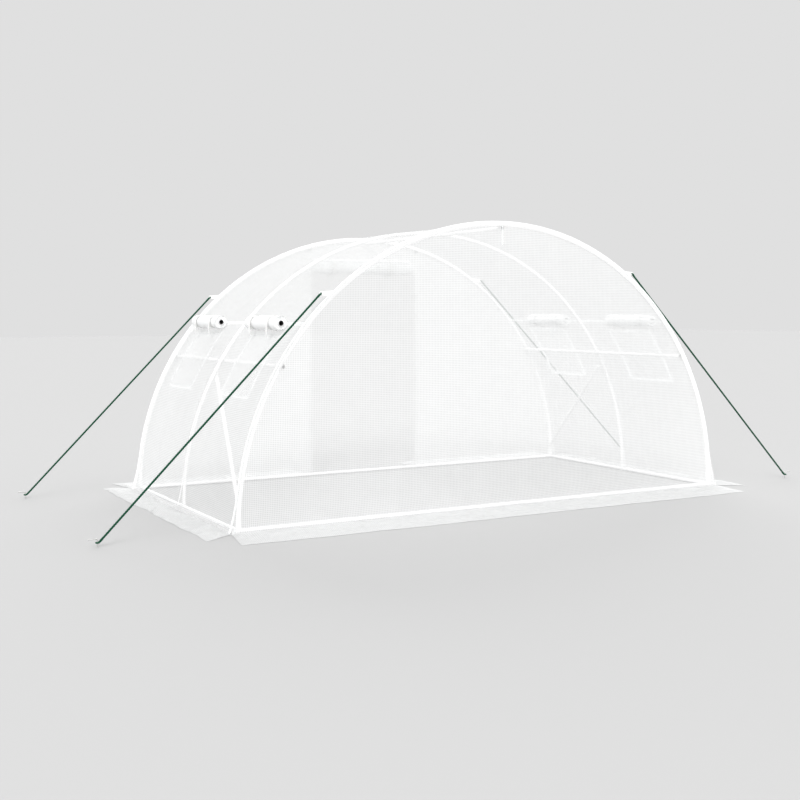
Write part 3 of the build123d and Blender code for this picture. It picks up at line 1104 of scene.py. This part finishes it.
def rolled_film(name, centre, axle, side, radius, length, seed=0, core=0.0138, turns=2):
    """A flap of film rolled up round an axle, its ends uneven and its turns just apart."""
    up = axle.cross(side).normalized()
    if up.z < 0:
        up = -up
    per_turn = 40
    start = core + (radius - core) * 0.72
    rim = radius - 0.0015
    ties = (0.5 - TIE_PLACE / length, 0.5 + TIE_PLACE / length)

    def around(r, angle, reach):
        out = side * r * math.cos(angle) + up * r * math.sin(angle)
        return centre + out + axle * reach

    def place(step, run):
        turn = step / per_turn
        share = turn / turns
        angle = 2 * math.pi * turn + 2.4
        base = start + (rim - start) * share
        lump = 0.0016 * wobble((run * 3, math.cos(angle), math.sin(angle)), 2.4, seed)
        dent = 0.0035 * sum(math.exp(-(((run - tie) / 0.02) ** 2)) for tie in ties)
        uneven = 0.004 * wobble((turn * 1.7, seed, 0), 1.0, seed) + 0.0025 * math.sin(turn * 2.1)
        reach = (run - 0.5) * (length - 0.01) + uneven * (2 * run - 1)
        spot = around(base + (lump - dent) * share, angle, reach)
        return spot, (run * length, 2 * math.pi * base * turn / 1.6)

    rows = list(range(per_turn * turns + 1))
    made = sheet_over(name, rows, stops([0, 1], 1 / 28), place)
    dress(made, finish("roll_finish"))
    inner = core + 0.001
    ends = []
    for way in (-1, 1):

        def face(share, turn, way=way):
            """The edges of the wound layers, as ridges over the end of the roll."""
            angle = 2 * math.pi * turn
            layer = (share * 13 - turn) % 1.0
            rough = wobble((math.cos(angle), math.sin(angle), share * 3), 2.0, seed)
            sunk = 0.0022 * (1 - abs(2 * layer - 1)) + 0.0015 * rough
            r = inner + (radius - 0.003 - inner) * share
            return around(r, angle, way * (length / 2 - 0.0085 + sunk)), (angle * 0.02, r)

        rows = stops([0, 1], 1 / 52)
        ends.append(sheet_over("end", rows, stops([0, 1], 1 / 40), face, levels=0))
    edge = join(ends, f"{name}_edges")
    dress(edge, finish("roll_finish"))
    return made


def roll_tube(name, centre, axle, length, radius=0.013):
    """The open tube that a flap is wound on, its inside painted near black as shade."""
    clear_selection()
    bpy.ops.mesh.primitive_cylinder_add(
        vertices=32, radius=radius, depth=length, end_fill_type="NOTHING"
    )
    tube = bpy.context.object
    tube.matrix_world = Matrix.Translation(centre) @ facing(axle)
    settle(tube)
    thicken(tube, 0.0015, -1.0)
    bpy.ops.object.shade_smooth_by_angle(angle=math.radians(40))
    tube.name = name
    dress(tube, finish("white_powder_coat"))
    tube.data.materials.append(finish("tube_inside"))
    # the inner faces take the painted shade material
    for face in tube.data.polygons:
        out = Vector(face.center) - centre
        out -= axle * out.dot(axle)
        if face.normal.dot(out) < -1e-6 and abs(face.normal.dot(axle)) < 0.5:
            face.material_index = 1


def tie_band(centre, axle, side, radius, name):
    """A strap round a roll with a short end hanging from it."""
    up = Vector((0, 0, 1))
    thick = 0.0012
    half_width = 0.012
    tail = 0.09
    loop = []
    for k in range(49):
        turn = 2 * math.pi * k / 48
        loop.append((side * math.cos(turn) + up * math.sin(turn)) * (radius + thick))
    hang = [
        side * (radius + thick * 2.2 + 0.004 * math.sin(3 * t)) - up * tail * t
        for t in stops([0, 1], 0.1)
    ]
    pieces = []
    for line in (loop, hang):
        run = [0.0]
        for p, q in zip(line, line[1:]):
            run.append(run[-1] + (q - p).length)

        def place(row, col, line=line, run=run):
            return centre + line[col] + axle * row * half_width, (row * half_width, run[col])

        one = sheet_over("band", [-1, 0, 1], list(range(len(line))), place, levels=0)
        pieces.append(thicken(one, thick, 1.0))
    return join(pieces, name)


class POLYTUNNEL_OT_doorway(bpy.types.Operator):
    """Makes the rolled door flap, its ties and the zips down both sides"""

    bl_idname = "polytunnel.doorway"
    bl_label = "Doorway"

    def execute(self, context):
        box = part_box("door_roll")
        centre = (Vector(box[0]) + Vector(box[1])) / 2
        length = box[1][0] - box[0][0] - 0.012
        radius = (box[1][2] - box[0][2]) / 2 - 0.0005
        roll = rolled_film("door_flap_roll", centre, ACROSS, LENGTHWISE, radius, length, 7)
        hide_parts("door_roll")
        roll_tube("door_roll_tube", centre, ACROSS, length + 0.012)
        ties = []
        for step in (-0.28, 0.28):
            place = centre + ACROSS * step
            ties.append(tie_band(place, ACROSS, LENGTHWISE, radius + 0.001, "door_tie"))
        tie = join(ties, "door_tie_bands")
        dress(tie, finish("webbing_finish"))
        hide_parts("door_ties")
        self.tapes()
        self.teeth()
        return {"FINISHED"}

    def tapes(self):
        """The woven tapes of the zips, down both sides of the doorway."""
        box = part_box("door_zips")
        tapes = []
        for side in (-1, 1):

            def place(z, x, side=side):
                return end_spot(1, side * x, z, 0.002), (x, z)

            rows = stops([0.004, box[1][2]], 0.03)
            cols = stops([DOOR_HALF, box[1][0]], 0.008)
            tapes.append(thicken(sheet_over("tape", rows, cols, place, levels=0), 0.0012))
        tape = join(tapes, "zip_tapes")
        dress(tape, finish("tape_finish"))
        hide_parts("door_zips")

    def teeth(self):
        """A row of teeth up the inner edge of each tape, from one tooth and an array."""
        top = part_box("door_zips")[1][2]
        pitch = 0.0042
        clear_selection()
        bpy.ops.mesh.primitive_cube_add(size=1)
        tooth = bpy.context.object
        for vert in tooth.data.vertices:
            vert.co = Vector((vert.co.x * 0.0045, vert.co.y * 0.0022, vert.co.z * 0.0022))
        soften = tooth.modifiers.new("edge", "BEVEL")
        soften.width = 0.0005
        soften.segments = 1
        row = tooth.modifiers.new("row", "ARRAY")
        row.use_relative_offset = False
        row.use_constant_offset = True
        row.constant_offset_displace = (0, 0, pitch)
        row.count = int((top - 0.03) / pitch)
        for name in ("edge", "row"):
            bpy.ops.object.modifier_apply(modifier=name)
        rows = []
        for side in (-1, 1):
            copy = bpy.data.objects.new("zip_teeth", tooth.data.copy())
            bpy.context.collection.objects.link(copy)
            for vert in copy.data.vertices:
                z = vert.co.z + 0.02
                base = end_spot(1, side * (DOOR_HALF + 0.004), z, 0.0036)
                vert.co = Vector((base.x + vert.co.x, base.y + vert.co.y, z))
            rows.append(copy)
        bpy.data.objects.remove(tooth)
        dress(join(rows, "zip_teeth"), finish("webbing_finish"))


TAB_REACH = 0.0735  # from a tab's root to its eyelet


class POLYTUNNEL_OT_guy_ropes(bpy.types.Operator):
    """Makes the webbing tabs, the twisted ropes and the wraps round the pegs"""

    bl_idname = "polytunnel.guy_ropes"
    bl_label = "Guy ropes"

    def execute(self, context):
        for side, name, angle in ((-1, "left", 48.6), (1, "right", 56.3)):
            tabs = []
            for y, end in ((STATIONS[0], "front"), (STATIONS[-1], "rear")):
                root = outward(angle, side) * (ARCH + 0.0003) + LENGTHWISE * y
                tabs.append(self.tab(root, side, math.tan(math.radians(angle))))
                self.rope(root, side, y, f"guy_rope_{name}_{end}")
            tab = join(tabs, f"rope_tab_pair_{name}")
            dress(tab, finish("webbing_finish"))
            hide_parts(f"rope_tabs_{name}")
        return {"FINISHED"}

    def tab(self, root, side, slope):
        """A webbing tab that stands out level from the cover, with its eyelet ring."""
        across = 0.018
        eyelet = 0.0065
        end = 0.0115
        outline = [Vector((-across * slope, 0, across))]
        for k in range(13):
            sweep = math.radians(80 - 160 * k / 12)
            outline.append(Vector((TAB_REACH + end * math.cos(sweep), 0, end * math.sin(sweep))))
        outline.append(Vector((across * slope, 0, -across)))
        hole = []
        for k in range(16):
            sweep = 2 * math.pi * k / 16
            hole.append(
                Vector((TAB_REACH + eyelet * math.cos(sweep), 0, eyelet * math.sin(sweep)))
            )
        mesh = bmesh.new()
        edges = []
        for line in (outline, hole):
            ring = [mesh.verts.new(p) for p in line]
            edges += [mesh.edges.new((p, q)) for p, q in zip(ring, ring[1:] + ring[:1])]
        bmesh.ops.triangle_fill(mesh, use_beauty=True, use_dissolve=False, edges=edges)
        layer = mesh.loops.layers.uv.verify()
        for face in mesh.faces:
            for loop in face.loops:
                loop[layer].uv = (loop.vert.co.x, loop.vert.co.z)
        for vert in mesh.verts:
            vert.co = root + Vector((side * vert.co.x, 0, vert.co.z))
        data = bpy.data.meshes.new("tab")
        mesh.to_mesh(data)
        mesh.free()
        tab = bpy.data.objects.new("tab", data)
        bpy.context.collection.objects.link(tab)
        thicken(tab, 0.0026)
        clear_selection()
        bpy.ops.mesh.primitive_torus_add(
            location=root + ACROSS * side * TAB_REACH,
            rotation=(math.pi / 2, 0, 0),
            major_radius=eyelet + 0.0008,
            minor_radius=0.0014,
            major_segments=28,
            minor_segments=8,
        )
        ring = settle(bpy.context.object)
        return join([tab, ring], "tab")

    def rope(self, root, side, y, name):
        """Three strands laid from the eye in the tab to the eye round the peg."""
        eye_strand = 0.005
        eye_radius = 0.009
        lay_radius = 0.0035
        strand_radius = 0.0041
        peg = Vector((side * (ARCH + 0.865), y, 0.026))
        peg_eye = 0.0035 + 0.0003 + eye_strand
        eyelet = root + ACROSS * side * TAB_REACH
        low = peg - ACROSS * side * peg_eye
        down = (low - eyelet).normalized()
        top_eye = eyelet + down * (0.0012 + eye_radius)
        high = top_eye + down * eye_radius
        strands = []
        lay = sizes().rope_pitch
        length = (low - high).length
        other = down.cross(LENGTHWISE)
        steps = int(length / lay * 10)
        for k in range(3):
            start = 2 * math.pi * k / 3

            def place(turn, run, start=start):
                way = start + 2 * math.pi * run * length / lay
                out = LENGTHWISE * math.cos(way) + other * math.sin(way)
                tang = LENGTHWISE * -math.sin(way) + other * math.cos(way)
                around = 2 * math.pi * turn
                point = high + down * run * length + out * lay_radius
                point += (out * math.cos(around) + tang * math.sin(around)) * strand_radius
                return point, (turn * 0.02, run * length)

            rows = stops([0, 1], 1 / 6)
            strands.append(sheet_over("strand", rows, stops([0, 1], 1 / steps), place, levels=0))
        eyes = [
            self.loop(top_eye, other, eye_radius, eye_strand),
            self.loop(peg, Vector((0, 0, 1)), peg_eye, eye_strand),
        ]
        # whippings where the eyes are spliced
        whippings = [
            self.coil(high + down * 0.012, down, 0.0062, 0.0014, 6),
            self.coil(low - down * 0.02, down, 0.0062, 0.0014, 7),
        ]
        rope = join(strands + eyes + whippings, f"{name}_strands")
        pick(rope)
        bpy.ops.object.mode_set(mode="EDIT")
        bpy.ops.mesh.select_all(action="SELECT")
        bpy.ops.mesh.remove_doubles(threshold=0.00002)
        bpy.ops.mesh.normals_make_consistent(inside=False)
        bpy.ops.object.mode_set(mode="OBJECT")
        bpy.ops.object.shade_smooth()
        dress(rope, finish("green_twisted_cord"))
        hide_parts(name)

    def loop(self, centre, axis, radius, thick):
        clear_selection()
        bpy.ops.mesh.primitive_torus_add(
            major_radius=radius, minor_radius=thick, major_segments=36, minor_segments=10
        )
        made = bpy.context.object
        made.matrix_world = Matrix.Translation(centre) @ facing(axis)
        return settle(made)

    def coil(self, middle, axis, radius, thick, count):
        first = axis.orthogonal().normalized()
        second = axis.cross(first).normalized()

        def place(turn, run):
            way = 2 * math.pi * count * run
            out = first * math.cos(way) + second * math.sin(way)
            around = 2 * math.pi * turn
            point = middle + axis * (run - 0.5) * count * thick * 2
            point += out * (radius + thick * math.cos(around)) + axis * thick * math.sin(around)
            return point, (turn * 0.01, run * 0.2)

        steps = stops([0, 1], 1 / (count * 14))
        return sheet_over("coil", stops([0, 1], 1 / 6), steps, place, levels=0)


class POLYTUNNEL_PT_panel(bpy.types.Panel):
    """Shows the sizes, the colours and the buttons that make the pieces"""

    bl_idname = "POLYTUNNEL_PT_panel"
    bl_label = "Polytunnel"
    bl_space_type = "VIEW_3D"
    bl_region_type = "UI"
    bl_category = "Polytunnel"

    def draw(self, context):
        for group in (context.scene.polytunnel_sizes, context.scene.polytunnel_colours):
            for name in group.bl_rna.properties.keys():
                if name not in {"rna_type", "name"}:
                    self.layout.prop(group, name)
        for operator in OPERATORS:
            self.layout.operator(operator.bl_idname)


OPERATORS = (
    POLYTUNNEL_OT_stage,
    POLYTUNNEL_OT_frame,
    POLYTUNNEL_OT_cover,
    POLYTUNNEL_OT_end_walls,
    POLYTUNNEL_OT_ground_flaps,
    POLYTUNNEL_OT_windows,
    POLYTUNNEL_OT_doorway,
    POLYTUNNEL_OT_guy_ropes,
)
CLASSES = (PolytunnelSizes, PolytunnelColours, *OPERATORS, POLYTUNNEL_PT_panel)


def register():
    for one in CLASSES:
        bpy.utils.register_class(one)
    bpy.types.Scene.polytunnel_sizes = PointerProperty(type=PolytunnelSizes)
    bpy.types.Scene.polytunnel_colours = PointerProperty(type=PolytunnelColours)


def unregister():
    del bpy.types.Scene.polytunnel_sizes
    del bpy.types.Scene.polytunnel_colours
    for one in reversed(CLASSES):
        bpy.utils.unregister_class(one)


def main():
    register()
    bpy.ops.polytunnel.stage()
    bpy.ops.polytunnel.tube_frame()
    bpy.ops.polytunnel.cover()
    bpy.ops.polytunnel.end_walls()
    bpy.ops.polytunnel.ground_flaps()
    bpy.ops.polytunnel.windows()
    bpy.ops.polytunnel.doorway()
    bpy.ops.polytunnel.guy_ropes()


if __name__ == "__main__":
    main()
